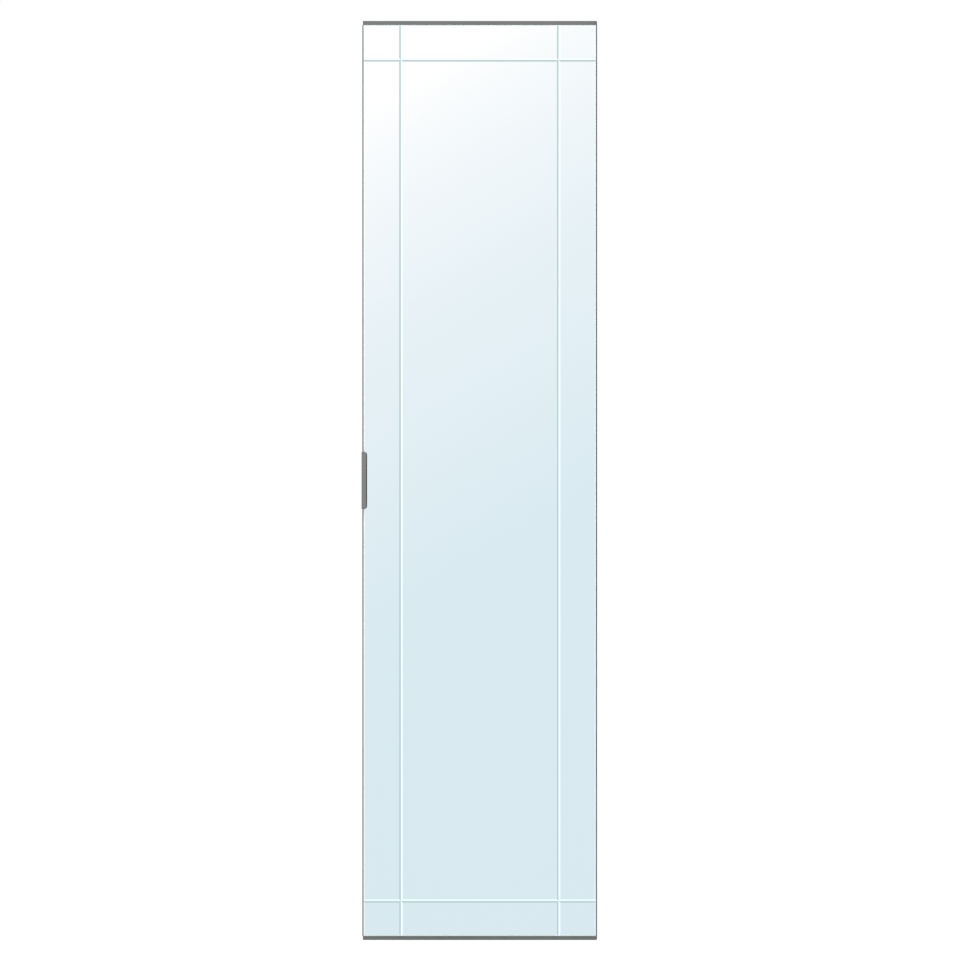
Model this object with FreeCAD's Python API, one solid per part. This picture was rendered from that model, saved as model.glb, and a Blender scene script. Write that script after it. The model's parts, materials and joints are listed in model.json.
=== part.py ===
"""Mirrored wardrobe door: framed mirror leaf on three concealed cup hinges.

Millimetres, +Z up. The mirror faces -Y, the hinge edge is at +X and the
origin is the screw centre of the middle mounting plate on the cabinet side.
Inside the hinges a point is given as (u, v): u inward from the hinge edge of
the door, v backward from the door's back face.
"""
import FreeCAD
import Part
import math
import os

# Leaf
DOOR_W = 497.0
DOOR_H = 1946.0
BOARD_T = 16.0
TAPE_T = 1.0
TAPE_W = 19.0
TAPE_COUNT = 4
TAPE_INSET = 40.0

# Pane, with a polished bevel round it and V-grooves across it
GLASS_T = 4.0
BEVEL_W = 2.5
BEVEL_DEPTH = 0.8
GROOVE_W = 7.0
GROOVE_DEPTH = 1.0
GROOVE_SIDE_INSET = 81.5
GROOVE_END_INSET = 82.6

# Rails, their end caps, and the edge strips between them
RAIL_FACE_H = 8.5
RAIL_INSET = 1.1
RAIL_PROUD = 0.8
RAIL_WEB_T = 1.6
RAIL_BACK_H = 11.0
RAIL_BACK_T = 1.2
RAIL_EDGE_R = 0.6
RAIL_SCREW_COUNT = 4
RAIL_SCREW_INSET = 60.0
FLAT_CAP_T = 2.0
ROUND_CAP_L = 9.0
ROUND_CAP_R = 3.0
CAP_PLUG_L = 6.0
CAP_PLAY = 0.3
STRIP_T = 2.2
STRIP_EDGE_R = 0.6
STRIP_SCREW_COUNT = 6
STRIP_SCREW_INSET = 193.0
EDGE_SCREW_R = 1.5
EDGE_SCREW_L = 22.0
EDGE_HEAD_R = 2.6
EDGE_HEAD_H = 1.1

# Pull handle
PULL_H = 120.0
PULL_T = 2.5
PULL_LIP_W = 11.5
PULL_GAP = 16.0
PULL_RETURN = 3.0
PULL_CORNER_R = 5.0
PULL_BEND_R = 1.4
PULL_BEVEL = 2.0
PULL_LEG_W = 24.0
PULL_LEG_T = 1.6
PULL_SCREW_COUNT = 3
PULL_SCREW_INSET = 14.0
PULL_SCREW_END = 18.0
PULL_SCREW_R = 1.6
PULL_SCREW_L = 12.0
PULL_HEAD_R = 2.8
PULL_HEAD_H = 1.2

# Buffers set the gap between the leaf and the cabinet
DOOR_GAP = 2.0
BUMPER_R = 5.0
BUMPER_INSET = 12.0
BUMPER_COUNT = 4
BUMPER_END = 43.0

# Hinge places
HINGE_NAMES = ("top", "middle", "bottom")
HINGE_END = 100.0
OVERLAY = 15.0
SCREW_LINE = 37.0

# Hinge pivots, door shut
ARM_OUTER = (33.0, 5.15)
ARM_INNER = (30.0, -5.0)
CUP_OUTER = (11.44, -1.5)
CUP_INNER = (13.3, -5.3)
EYE_SHIFT = (-0.68, -0.71)
EYE_PLAY = 1.35
PIN_R = 1.25
PIN_RUN = 0.04

# Hinge layers across the width, measured from its middle
INNER_HALF = 2.5
LAYER_GAP = 0.5
CHEEK_T = 1.5
PLATE_T = 1.5
RIVET_R = 1.9
RIVET_H = 0.7
RIVET_GAP = 0.1

# Links
OUTER_EYE_R = 2.6
OUTER_HALF_W = 1.7
OUTER_ARCH = 1.8
INNER_EYE_R = 3.0
INNER_WALL = 1.2
INNER_HALF_W = 2.0

# Cup
CUP_R = 17.4
CUP_BORE_PLAY = 0.1
CUP_WALL = 1.4
CUP_FLOOR = 1.0
CUP_FLOOR_R = 2.0
CUP_HOLLOW_EDGE_R = 1.2
CUP_DEPTH = 12.5
CUP_TAB = 4.0
FLANGE_T = 1.2
FLANGE_R = 19.0
EAR_Z = 22.5
EAR_U = 9.5
EAR_R = 5.0
NOTCH_REACH = 4.9
NOTCH_HALF = 7.3
NOTCH_DEPTH = 2.5
CUP_SCREW_R = 1.6
CUP_SCREW_L = 13.0
CUP_HEAD_R = 2.9
CUP_HEAD_H = 1.0
STUB_LAP = 0.3
PIN_COVER = 0.2

# Arm
ARM_HALF = 8.5
ARM_WALL = 1.5
ARM_BEND_R = 1.2
ARM_TOP_U = 31.5
ARM_FOOT_U = 19.0
ARM_FRONT_V = 10.0
ARM_RAKE = 6.0
ARM_TOP_END_V = 60.0
ARM_END_V = 66.0
NOSE_R = 3.4
CHEEK_FOOT_U = 23.0
BRIDGE_END_V = 13.0
BRIDGE_L = 5.0
SPRING_T = 0.8
SPRING_HALF = 2.3
SPRING_PLAY = 1.1

# Mounting plate
WING_T = 2.0
WING_HALF = 24.0
WING_DEPTH = 24.0
WING_R = 6.0
PLATE_HOLE_PITCH = 32.0
PLATE_HOLE_R = 2.3
SEAT_FRONT_V = 22.0
SEAT_END_V = 59.0
SEAT_PLAY = 0.2
SEAT_EDGE_R = 1.0
CATCH_LOW_U = 18.0
CATCH_HIGH_U = 22.0
CATCH_DEPTH = 2.4

# Adjusting screws
SIDE_SCREW_V = 28.0
SIDE_SCREW_R = 2.5
SIDE_SCREW_SINK = 3.0
DEPTH_SCREW_V = 48.0
DEPTH_SCREW_R = 2.0
DEPTH_SCREW_SINK = 8.0
DEPTH_HEAD_R = 3.6
DEPTH_HEAD_H = 2.0
DEPTH_HOLE_PLAY = 0.4
DEPTH_TRAVEL = 5.0
RECESS_L = 3.4
RECESS_W = 0.8
RECESS_DEPTH = 0.9

# Release lever
LEVER_PIVOT = (23.5, 62.6)
LEVER_PLAY = 0.6
LEVER_BOSS_R = 2.6
LEVER_EAR = 3.0
LEVER_TAB_U = 5.9
LEVER_TAB_V = 6.4
LEVER_TAB_HALF = 1.1
HOOK_PLAY = 1.4
HOOK_LAP = 1.4

# Derived
STACK_T = BOARD_T + TAPE_T + GLASS_T
BACK_Y = -(SCREW_LINE + DOOR_GAP)
BOARD_FRONT = BACK_Y - BOARD_T
GLASS_FRONT = BACK_Y - STACK_T
RAIL_FRONT = GLASS_FRONT - RAIL_PROUD
LEFT_X = OVERLAY - DOOR_W
RAIL_X0 = LEFT_X + RAIL_INSET
PANE_X0 = LEFT_X + STRIP_T
PANE_X1 = OVERLAY - STRIP_T
HALF_H = DOOR_H / 2
PANE_HALF_H = HALF_H - RAIL_FACE_H
HINGE_Z = (HALF_H - HINGE_END, 0.0, HINGE_END - HALF_H)
CUP_U = CUP_TAB + CUP_R + CUP_BORE_PLAY
CUP_HOLLOW_R = CUP_R - CUP_WALL
CHEEK_IN = INNER_HALF + LAYER_GAP
CHEEK_OUT = CHEEK_IN + CHEEK_T
PLATE_IN = CHEEK_OUT + LAYER_GAP
PLATE_OUT = PLATE_IN + PLATE_T
RUN_R = PIN_R + PIN_RUN
EYE = (CUP_INNER[0] + EYE_SHIFT[0], CUP_INNER[1] + EYE_SHIFT[1])
EYE_HOLE_R = PIN_R + EYE_PLAY
SEAT_HALF = ARM_HALF - ARM_WALL - SEAT_PLAY
ARM_UNDER_U = ARM_TOP_U - ARM_WALL
NOSE_TOP_U = ARM_OUTER[0] + NOSE_R
PLATE_MID_V = DOOR_GAP + SCREW_LINE
CHEEK_END_V = SEAT_FRONT_V - SEAT_PLAY
SPRING_END_V = CHEEK_END_V - SEAT_PLAY
FRONTWARD = FreeCAD.Vector(0, -1, 0)
PANELWARD = FreeCAD.Vector(1, 0, 0)


def vec(u, v, z=0.0):
    """Return the point (u, v, z) of the hinge section in the shared frame."""
    return FreeCAD.Vector(OVERLAY - u, BACK_Y + v, z)


def box(x0, x1, y0, y1, z0, z1):
    """Return a box between two corners."""
    return Part.makeBox(x1 - x0, y1 - y0, z1 - z0, FreeCAD.Vector(x0, y0, z0))


def section_box(u0, u1, v0, v1, z0, z1):
    """Return a box given in the hinge section."""
    low = vec(u1, v0)
    high = vec(u0, v1)
    return box(low.x, high.x, low.y, high.y, z0, z1)


def prism(points, z0, z1):
    """Return a prism of a section outline between two heights."""
    corners = [vec(u, v, z0) for u, v in points]
    face = Part.Face(Part.makePolygon(corners + corners[:1]))
    return face.extrude(FreeCAD.Vector(0, 0, z1 - z0))


def post(at, radius, z0, z1):
    """Return an upright cylinder at a point of the hinge section."""
    return Part.makeCylinder(radius, z1 - z0, vec(at[0], at[1], z0))


def fused(shapes):
    """Return the shapes as one clean solid."""
    return shapes[0].multiFuse(shapes[1:]).removeSplitter()


def both_sides(make, z_in, z_out):
    """Return make(z0, z1) on each side of a hinge's middle."""
    return [make(z_in, z_out), make(-z_out, -z_in)]


def at_hinges(shapes):
    """Return copies of the shapes at the three hinges, as one group."""
    return [moved(shape, z) for z in HINGE_Z for shape in shapes]


def moved(shape, z):
    """Return a shape lifted to one hinge's height."""
    copy = shape.copy()
    copy.translate(FreeCAD.Vector(0, 0, z))
    return copy


def csk_screw(head_r, head_h, shank_r, length, at, direction):
    """Return a countersunk screw whose head is flush at a point."""
    point = FreeCAD.Vector(*at)
    way = FreeCAD.Vector(*direction)
    head = Part.makeCone(head_r, shank_r, head_h, point, way)
    shank = Part.makeCylinder(shank_r, length - head_h, point + way * head_h, way)
    return fused([head, shank])


def cross_recess(at, direction):
    """Return the cutter of a cross recess sunk along a direction."""
    way = FreeCAD.Vector(*direction)
    turn = FreeCAD.Rotation(FreeCAD.Vector(0, 0, 1), way)
    bars = []
    for dx, dy in ((RECESS_L, RECESS_W), (RECESS_W, RECESS_L)):
        corner = FreeCAD.Vector(-dx / 2, -dy / 2, -RECESS_DEPTH)
        bar = Part.makeBox(dx, dy, 2 * RECESS_DEPTH, corner)
        bar.Placement = FreeCAD.Placement(FreeCAD.Vector(*at), turn)
        bars.append(bar)
    return bars[0].fuse(bars[1])


def spread(count, low, high):
    """Return evenly spaced places from low to high."""
    return [low + (high - low) * i / (count - 1) for i in range(count)]


def plain(screws):
    """Return the screws without recesses, as cutters of their holes."""
    return [screw for screw, at, way in screws]


def finished(screws):
    """Return the screws with a cross recess in each head."""
    return [screw.cut(cross_recess(at, way)) for screw, at, way in screws]


def edge_screw(at, way):
    """Return one screw of the rails and strips with its place."""
    body = csk_screw(EDGE_HEAD_R, EDGE_HEAD_H, EDGE_SCREW_R, EDGE_SCREW_L, at, way)
    return body, at, way


def rail_screws(end):
    """Return the screws that hold a rail to the top (1) or bottom (-1) of the board."""
    y = BACK_Y - BOARD_T / 2
    places = spread(RAIL_SCREW_COUNT, LEFT_X + RAIL_SCREW_INSET, OVERLAY - RAIL_SCREW_INSET)
    return [edge_screw((x, y, end * HALF_H), (0, 0, -end)) for x in places]


def strip_screws(side):
    """Return the screws of the edge strip on the handle side (-1) or hinge side (1)."""
    y = BACK_Y - BOARD_T / 2
    x = LEFT_X if side < 0 else OVERLAY
    last = HALF_H - STRIP_SCREW_INSET
    return [edge_screw((x, y, z), (-side, 0, 0)) for z in spread(STRIP_SCREW_COUNT, -last, last)]


def handle_screws():
    """Return the screws that hold the pull to the back of the board."""
    way = (0, -1, 0)
    last = PULL_H / 2 - PULL_SCREW_END
    screws = []
    for z in spread(PULL_SCREW_COUNT, -last, last):
        at = (LEFT_X + PULL_SCREW_INSET, BACK_Y + PULL_LEG_T, z)
        body = csk_screw(PULL_HEAD_R, PULL_HEAD_H, PULL_SCREW_R, PULL_SCREW_L, at, way)
        screws.append((body, at, way))
    return screws


def cup_screws(z):
    """Return the two screws of the cup at one height."""
    way = (0, -1, 0)
    screws = []
    for side in (1, -1):
        top = vec(CUP_U + EAR_U, FLANGE_T, z + side * EAR_Z)
        at = (top.x, top.y, top.z)
        body = csk_screw(CUP_HEAD_R, CUP_HEAD_H, CUP_SCREW_R, CUP_SCREW_L, at, way)
        screws.append((body, at, way))
    return screws


def cup_bore():
    """Return the cutter of one cup bore."""
    bore_r = CUP_R + CUP_BORE_PLAY
    return Part.makeCylinder(bore_r, CUP_DEPTH, vec(CUP_U, 0), FRONTWARD)


def core_board(fasteners):
    """Return the board with its bores and pilot holes."""
    inside = HALF_H - RAIL_WEB_T
    board = box(PANE_X0, PANE_X1, BOARD_FRONT, BACK_Y, -inside, inside)
    return board.cut(at_hinges([cup_bore()]) + fasteners)


def groove_cutter(length):
    """Return a V-shaped cutter along +Z whose open side is at Y = 0."""
    over = GROOVE_DEPTH / 2
    wide = GROOVE_W / 2 * (GROOVE_DEPTH + over) / GROOVE_DEPTH
    outline = [(-wide, -over), (wide, -over), (0, GROOVE_DEPTH)]
    corners = [FreeCAD.Vector(x, y, -length / 2) for x, y in outline]
    face = Part.Face(Part.makePolygon(corners + corners[:1]))
    return face.extrude(FreeCAD.Vector(0, 0, length))


def upright_rectangle(y, inset):
    """Return the pane's outline at a depth, drawn in by an inset."""
    x0 = PANE_X0 + inset
    x1 = PANE_X1 - inset
    half = PANE_HALF_H - inset
    corners = [(x0, -half), (x1, -half), (x1, half), (x0, half), (x0, -half)]
    return Part.makePolygon([FreeCAD.Vector(x, y, z) for x, z in corners])


def mirror_pane():
    """Return the pane with its polished bevel and four V-grooves."""
    shoulder = GLASS_FRONT + BEVEL_DEPTH
    slab = box(PANE_X0, PANE_X1, shoulder, GLASS_FRONT + GLASS_T, -PANE_HALF_H, PANE_HALF_H)
    face = [upright_rectangle(shoulder, 0), upright_rectangle(GLASS_FRONT, BEVEL_W)]
    pane = fused([slab, Part.makeLoft(face, True, True)])
    mid_x = LEFT_X + DOOR_W / 2
    cutters = []
    for side in (1, -1):
        upright = groove_cutter(DOOR_H)
        x = mid_x + side * (DOOR_W / 2 - GROOVE_SIDE_INSET)
        upright.translate(FreeCAD.Vector(x, GLASS_FRONT, 0))
        level = groove_cutter(DOOR_W)
        level.rotate(FreeCAD.Vector(0, 0, 0), FreeCAD.Vector(0, 1, 0), 90)
        level.translate(FreeCAD.Vector(mid_x, GLASS_FRONT, side * (HALF_H - GROOVE_END_INSET)))
        cutters += [upright, level]
    return pane.cut(cutters)


def mirror_tape():
    """Return the upright tape strips between board and pane."""
    half = HALF_H - TAPE_INSET
    strips = []
    for x in spread(TAPE_COUNT, LEFT_X + TAPE_INSET, OVERLAY - TAPE_INSET - TAPE_W):
        strips.append(box(x, x + TAPE_W, BOARD_FRONT - TAPE_T, BOARD_FRONT, -half, half))
    return strips


def along_x(outline, x0, x1):
    """Return a (y, z) outline drawn out along X."""
    corners = [FreeCAD.Vector(x0, y, z) for y, z in outline]
    face = Part.Face(Part.makePolygon(corners + corners[:1]))
    return face.extrude(FreeCAD.Vector(x1 - x0, 0, 0))


def rail_section(x0, x1):
    """Return a length of the top rail's outer section."""
    foot = HALF_H - RAIL_FACE_H
    back = BACK_Y + RAIL_BACK_T
    outline = [
        (RAIL_FRONT, HALF_H), (RAIL_FRONT, foot), (BOARD_FRONT, foot),
        (BOARD_FRONT, HALF_H - RAIL_WEB_T), (BACK_Y, HALF_H - RAIL_WEB_T),
        (BACK_Y, HALF_H - RAIL_BACK_H), (back, HALF_H - RAIL_BACK_H), (back, HALF_H),
    ]
    return along_x(outline, x0, x1)


def rounded_front(body, joints):
    """Return a rail piece with its front edges rounded, but for those at its joints."""
    edges = []
    for edge in body.Edges:
        b = edge.BoundBox
        at_joint = b.XLength < 1e-6 and any(abs(b.XMax - x) < 1e-6 for x in joints)
        if abs(b.YMax - RAIL_FRONT) < 1e-6 and not at_joint:
            edges.append(edge)
    return body.makeFillet(RAIL_EDGE_R, edges)


def rail_chamber(x0, x1, play):
    """Return a length of the hollow inside a rail's face, less a play."""
    wall = RAIL_WEB_T + play
    y0 = RAIL_FRONT + wall
    y1 = BOARD_FRONT - wall
    return box(x0, x1, y0, y1, HALF_H - RAIL_FACE_H + wall, HALF_H - wall)


def at_end(shape, end):
    """Return a piece of the top as it is (end 1) or mirrored to the bottom (-1)."""
    if end > 0:
        return shape
    return shape.mirror(FreeCAD.Vector(0, 0, 0), FreeCAD.Vector(0, 0, 1))


def rail(end, fasteners):
    """Return the hollow channel that caps the top (end 1) or the bottom (-1)."""
    x0 = RAIL_X0 + FLAT_CAP_T
    x1 = OVERLAY - ROUND_CAP_L
    body = rounded_front(rail_section(x0, x1), (x0, x1)).cut(rail_chamber(x0, x1, 0))
    return at_end(body, end).cut(fasteners)


def end_wall(x0, x1):
    """Return the wall of a cap that closes the channel over the board's end."""
    return box(x0, x1, RAIL_FRONT, BACK_Y + RAIL_BACK_T, HALF_H - RAIL_FACE_H, HALF_H)


def flat_cap():
    """Return the thin cap on the handle end of the top rail."""
    x1 = RAIL_X0 + FLAT_CAP_T
    body = fused([rail_section(RAIL_X0, x1), end_wall(RAIL_X0, PANE_X0)])
    plug = rail_chamber(x1, x1 + CAP_PLUG_L, CAP_PLAY)
    return fused([rounded_front(body, (x1,)), plug])


def round_cap():
    """Return the cap with a rounded corner on the hinge end of the top rail."""
    x0 = OVERLAY - ROUND_CAP_L
    body = fused([rail_section(x0, OVERLAY), end_wall(PANE_X1, OVERLAY)])
    corner = [e for e in body.Edges if on_cap_corner(e)]
    body = rounded_front(body.makeFillet(ROUND_CAP_R, corner), (x0,))
    return fused([body, rail_chamber(x0 - CAP_PLUG_L, x0, CAP_PLAY)])


def on_cap_corner(edge):
    """Tell whether an edge runs front to back along the outer top corner of a cap."""
    b = edge.BoundBox
    return b.YLength > BOARD_T / 2 and abs(b.XMin - OVERLAY) < 1e-6 and abs(b.ZMin - HALF_H) < 1e-6


def edge_strip(side, fasteners):
    """Return the edge strip of the handle side (-1) or the hinge side (1)."""
    x0 = LEFT_X if side < 0 else PANE_X1
    strip = box(x0, x0 + STRIP_T, GLASS_FRONT, BACK_Y, -PANE_HALF_H, PANE_HALF_H)
    outer = LEFT_X if side < 0 else OVERLAY
    nose = [e for e in strip.Edges if on_strip_nose(e, outer)]
    return strip.makeFillet(STRIP_EDGE_R, nose).cut(fasteners)


def on_strip_nose(edge, x):
    """Tell whether an edge is the outer front edge of an edge strip."""
    b = edge.BoundBox
    upright = b.ZLength > DOOR_H / 2
    return upright and abs(b.XMax - x) < 1e-6 and abs(b.YMax - GLASS_FRONT) < 1e-6


def pull_handle(fasteners):
    """Return the bent pull: leg on the back, web round the edge, lip in front."""
    lip_front = GLASS_FRONT - PULL_GAP - PULL_T
    x0 = LEFT_X - PULL_LEG_T
    x1 = x0 + PULL_LIP_W
    back = BACK_Y + PULL_LEG_T
    half = PULL_H / 2
    web = box(x0, LEFT_X, lip_front, back, -half, half)
    leg = box(LEFT_X, LEFT_X + PULL_LEG_W, BACK_Y, back, -half, half)
    lip = box(LEFT_X, x1, lip_front, lip_front + PULL_T, -half, half)
    turned = box(x1 - PULL_T, x1, lip_front + PULL_T, lip_front + PULL_T + PULL_RETURN, -half, half)
    body = fused([web, leg, lip, turned]).common(pull_outline(x0, x1, lip_front, back))
    free = [e for e in body.Edges if on_pull_rim(e, x0, x1, lip_front)]
    body = body.makeChamfer(PULL_BEVEL, free)
    bend = [e for e in body.Edges if on_pull_bend(e, x0, lip_front)]
    return body.makeFillet(PULL_BEND_R, bend).cut(fasteners)


def pull_outline(x0, x1, y0, y1):
    """Return the volume that rounds the free corners of the pull's lip and leg."""
    half = PULL_H / 2
    leg_x = LEFT_X + PULL_LEG_W
    parts = []
    for right, low, high in ((x1, y0, GLASS_FRONT), (leg_x, GLASS_FRONT, y1)):
        plate = box(x0, right, low, high, -half, half)
        deep = [e for e in plate.Edges if e.BoundBox.YLength > PULL_T / 2]
        free = [e for e in deep if abs(e.BoundBox.XMin - right) < 1e-6]
        parts.append(plate.makeFillet(PULL_CORNER_R, free))
    return fused(parts)


def on_pull_rim(edge, x0, x1, y0):
    """Tell whether an edge bounds the free side of the lip's front face."""
    b = edge.BoundBox
    in_front = abs(b.YMax - y0) < 1e-6
    return in_front and b.XMax > x1 - PULL_CORNER_R and b.XMin > x0 + PULL_T


def on_pull_bend(edge, x0, y0):
    """Tell whether an edge is the outer bend from the pull's web to its lip."""
    b = edge.BoundBox
    return b.ZLength > PULL_H / 2 and abs(b.YMax - y0) < 1e-6 and abs(b.XMax - x0) < 1e-6


def door_bumpers():
    """Return the soft buffers on the back of the handle side."""
    last = HALF_H - BUMPER_END
    buffers = []
    for z in spread(BUMPER_COUNT, -last, last):
        at = FreeCAD.Vector(LEFT_X + BUMPER_INSET, BACK_Y, z)
        disc = Part.makeCylinder(BUMPER_R, DOOR_GAP, at, FRONTWARD * -1)
        rim = [e for e in disc.Edges if abs(e.BoundBox.YMin - BACK_Y - DOOR_GAP) < 1e-6]
        buffers.append(disc.makeFillet(DOOR_GAP / 2, rim))
    return buffers


def hinge_cup(screws, pins):
    """Return one pressed cup with its flange, ears and lever notch."""
    shell = Part.makeCylinder(CUP_R, CUP_DEPTH, vec(CUP_U, 0), FRONTWARD)
    floor = [e for e in shell.Edges if abs(e.BoundBox.YMax - BACK_Y + CUP_DEPTH) < 1e-6]
    shell = shell.makeFillet(CUP_FLOOR_R, floor)
    flange = Part.makeCylinder(FLANGE_R, FLANGE_T, vec(CUP_U, FLANGE_T), FRONTWARD)
    ear_u = CUP_U + EAR_U
    ears = [Part.makeCylinder(EAR_R, FLANGE_T, vec(ear_u, FLANGE_T, z), FRONTWARD) for z in (EAR_Z, -EAR_Z)]
    bar = section_box(ear_u - EAR_R, ear_u + EAR_R, 0, FLANGE_T, -EAR_Z, EAR_Z)
    body = fused([shell, flange, bar] + ears)
    depth = CUP_DEPTH - CUP_FLOOR
    hollow = Part.makeCylinder(CUP_HOLLOW_R, depth + FLANGE_T, vec(CUP_U, FLANGE_T), FRONTWARD)
    base = [e for e in hollow.Edges if abs(e.BoundBox.YMax - BACK_Y + depth) < 1e-6]
    hollow = hollow.makeFillet(CUP_HOLLOW_EDGE_R, base)
    notch_u = CUP_U - CUP_R + NOTCH_REACH
    notch = section_box(CUP_U - 2 * CUP_R, notch_u, -NOTCH_DEPTH, 2 * FLANGE_T, -NOTCH_HALF, NOTCH_HALF)
    return body.cut([hollow, notch] + screws + pins)


def cup_stubs():
    """Return the two outer pivot stubs of one cup."""
    reach = pin_reach(CUP_OUTER[0])
    return both_sides(lambda a, b: post(CUP_OUTER, PIN_R, a, b), PLATE_IN - STUB_LAP, reach)


def cup_pin():
    """Return the inner pivot pin of one cup."""
    reach = pin_reach(CUP_INNER[0])
    return [post(CUP_INNER, PIN_R, -reach, reach)]


def pin_reach(u):
    """Return the half length of a pin that ends inside the cup's wall."""
    return math.sqrt(CUP_R ** 2 - (CUP_U - u + PIN_R) ** 2) - PIN_COVER


def offset_line(start, end, side):
    """Return two points shifted to the right of their way by a distance."""
    du = end[0] - start[0]
    dv = end[1] - start[1]
    length = math.hypot(du, dv)
    shift = (dv / length * side, -du / length * side)
    return [(p[0] + shift[0], p[1] + shift[1]) for p in (start, end)]


def straight_bar(start, end, half_w, z0, z1):
    """Return a flat bar between two points."""
    right = offset_line(start, end, half_w)
    left = offset_line(start, end, -half_w)
    return prism(right + left[::-1], z0, z1)


def arched_bar(start, end, half_w, arch, z0, z1):
    """Return a curved bar between two points, bowed to the right of its way."""
    arcs = []
    for side in (half_w, -half_w):
        first, last = offset_line(start, end, side)
        crown = offset_line(start, end, side + arch)
        mid = ((crown[0][0] + crown[1][0]) / 2, (crown[0][1] + crown[1][1]) / 2)
        arcs.append([vec(p[0], p[1], z0) for p in (first, mid, last)])
    near, far = arcs
    edges = [Part.Arc(*near).toShape(), Part.makeLine(near[2], far[2]),
             Part.Arc(*far[::-1]).toShape(), Part.makeLine(far[0], near[0])]
    return Part.Face(Part.Wire(edges)).extrude(FreeCAD.Vector(0, 0, z1 - z0))


def outer_plate(z0, z1):
    """Return one arched plate of the outer link."""
    bar = arched_bar(CUP_OUTER, ARM_OUTER, OUTER_HALF_W, OUTER_ARCH, z0, z1)
    eyes = [post(at, OUTER_EYE_R, z0, z1) for at in (CUP_OUTER, ARM_OUTER)]
    holes = [post(at, RUN_R, z0, z1) for at in (CUP_OUTER, ARM_OUTER)]
    return fused([bar] + eyes).cut(holes)


def inner_link():
    """Return the solid inner lever, its far eye opened for the linkage's play."""
    low = -INNER_HALF
    bar = straight_bar(EYE, ARM_INNER, INNER_HALF_W, low, INNER_HALF)
    near = post(ARM_INNER, INNER_EYE_R, low, INNER_HALF)
    far = post(EYE, EYE_HOLE_R + INNER_WALL, low, INNER_HALF)
    holes = [post(ARM_INNER, RUN_R, low, INNER_HALF), post(EYE, EYE_HOLE_R, low, INNER_HALF)]
    return fused([bar, near, far]).cut(holes)


def nose_cheek(z0, z1):
    """Return one cheek of the arm's nose, with both pivots' rounds."""
    low_v = ARM_INNER[1]
    outline = [
        (ARM_INNER[0] - NOSE_R, low_v),
        (ARM_INNER[0] - NOSE_R, ARM_OUTER[1] - NOSE_R),
        (CHEEK_FOOT_U, ARM_FRONT_V),
        (CHEEK_FOOT_U, CHEEK_END_V),
        (ARM_TOP_U, CHEEK_END_V),
        (NOSE_TOP_U, BRIDGE_END_V),
        (NOSE_TOP_U, ARM_OUTER[1]),
        (ARM_INNER[0] + NOSE_R, low_v),
    ]
    rounds = [post(at, NOSE_R, z0, z1) for at in (ARM_OUTER, ARM_INNER)]
    return fused([prism(outline, z0, z1)] + rounds)


def arm_channel():
    """Return the arm's channel: bent sheet with raked walls, open to the plate."""
    inner = ARM_HALF - ARM_WALL
    side = [
        (ARM_FOOT_U, ARM_FRONT_V + ARM_RAKE), (CHEEK_FOOT_U, ARM_FRONT_V), (ARM_TOP_U, ARM_FRONT_V),
        (ARM_TOP_U, ARM_TOP_END_V), (LEVER_PIVOT[0] + LEVER_EAR, ARM_END_V), (ARM_FOOT_U, ARM_END_V),
    ]
    body = prism(side, -ARM_HALF, ARM_HALF)
    bends = [e for e in body.Edges if on_arm_bend(e)]
    body = body.makeFillet(ARM_BEND_R, bends)
    inside = section_box(0, ARM_UNDER_U, ARM_FRONT_V - 1, ARM_END_V + 1, -inner, inner)
    rear = section_box(ARM_UNDER_U - 1, ARM_TOP_U + 1, ARM_TOP_END_V, ARM_END_V + 1, -inner, inner)
    return body.cut([inside, rear])


def on_arm_bend(edge):
    """Tell whether an edge is one of the two long bends of an arm."""
    b = edge.BoundBox
    top = vec(ARM_TOP_U, 0).x
    return b.YLength > (ARM_TOP_END_V - ARM_FRONT_V) / 2 and abs(b.XMax - top) < 1e-6 and b.XLength < 1e-6


def hinge_arm(pins, screws):
    """Return one arm: channel over the plate, narrow nose with two cheeks."""
    front = both_sides(
        lambda a, b: section_box(CHEEK_FOOT_U, ARM_UNDER_U, ARM_FRONT_V, ARM_FRONT_V + ARM_WALL, a, b),
        CHEEK_IN, ARM_HALF - ARM_WALL)
    bridge = section_box(
        NOSE_TOP_U - ARM_WALL, NOSE_TOP_U, BRIDGE_END_V - BRIDGE_L, BRIDGE_END_V, -CHEEK_OUT, CHEEK_OUT)
    cheeks = both_sides(nose_cheek, CHEEK_IN, CHEEK_OUT)
    body = fused([arm_channel(), bridge] + front + cheeks)
    return body.cut(pins + screws + [depth_slot()])


def depth_slot():
    """Return the cutter of the slot that the depth screw clamps through."""
    radius = DEPTH_SCREW_R + DEPTH_HOLE_PLAY
    ends = [DEPTH_SCREW_V - DEPTH_TRAVEL / 2, DEPTH_SCREW_V + DEPTH_TRAVEL / 2]
    rounds = [section_hole(v, radius, ARM_UNDER_U, ARM_TOP_U) for v in ends]
    return fused([section_box(ARM_UNDER_U, ARM_TOP_U, ends[0], ends[1], -radius, radius)] + rounds)


def section_hole(v, radius, u0, u1):
    """Return a round cutter along u at the middle of a hinge."""
    return Part.makeCylinder(radius, u1 - u0, vec(u0, v), PANELWARD * -1)


def arm_outer_pin():
    """Return the riveted pin that carries the outer link."""
    head_in = PLATE_OUT + RIVET_GAP
    heads = both_sides(lambda a, b: post(ARM_OUTER, RIVET_R, a, b), head_in, head_in + RIVET_H)
    return [fused([post(ARM_OUTER, PIN_R, -head_in, head_in)] + heads)]


def arm_inner_pin():
    """Return the pin that carries the inner link, flush with the cheeks."""
    return [post(ARM_INNER, PIN_R, -CHEEK_OUT, CHEEK_OUT)]


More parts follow.
